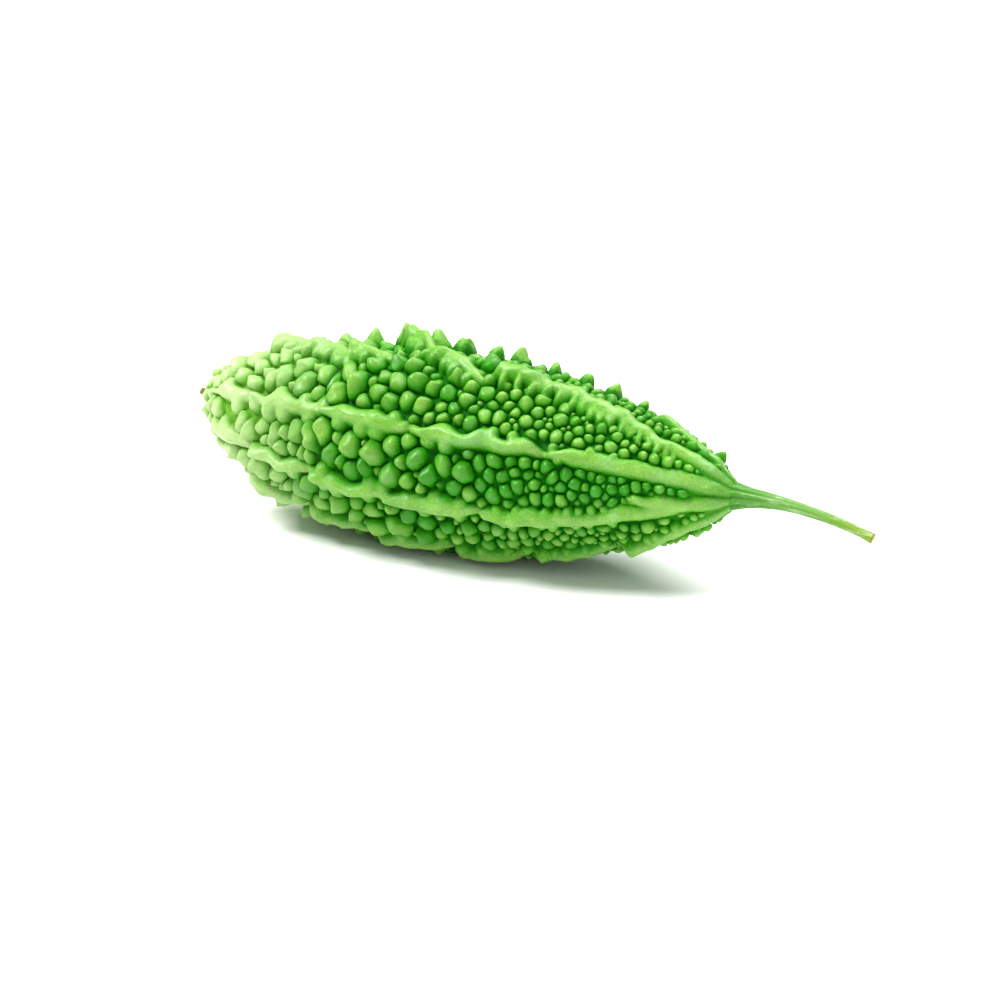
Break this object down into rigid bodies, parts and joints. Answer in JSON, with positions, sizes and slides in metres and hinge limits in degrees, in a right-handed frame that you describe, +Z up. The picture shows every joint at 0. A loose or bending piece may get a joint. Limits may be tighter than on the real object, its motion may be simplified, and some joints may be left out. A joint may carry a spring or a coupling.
{
  "type": "bitter gourd",
  "caption": "Whole bitter gourd lying on its side: a spindle-shaped, ridged and warty green fruit with its drooping stalk.",
  "frame": {"origin": "on the surface it lies on, under the middle of the bounding box", "axes": "+X along the fruit from the blossom tip to the stalk, +Z up"},
  "size_m": [0.1612, 0.0464, 0.0451],
  "materials": {
    "skin": "fresh green fruit skin, waxy, darker in the creases and paler on the ridges",
    "stalk": "fresh green plant stem, finely ribbed, yellower towards its cut end",
    "dry_scar": "dry brown plant tissue, dull"
  },
  "bodies": {
    "root": {"fruit": "skin", "stalk": "stalk", "blossom_scar": "dry_scar"}
  },
  "joints": []
}
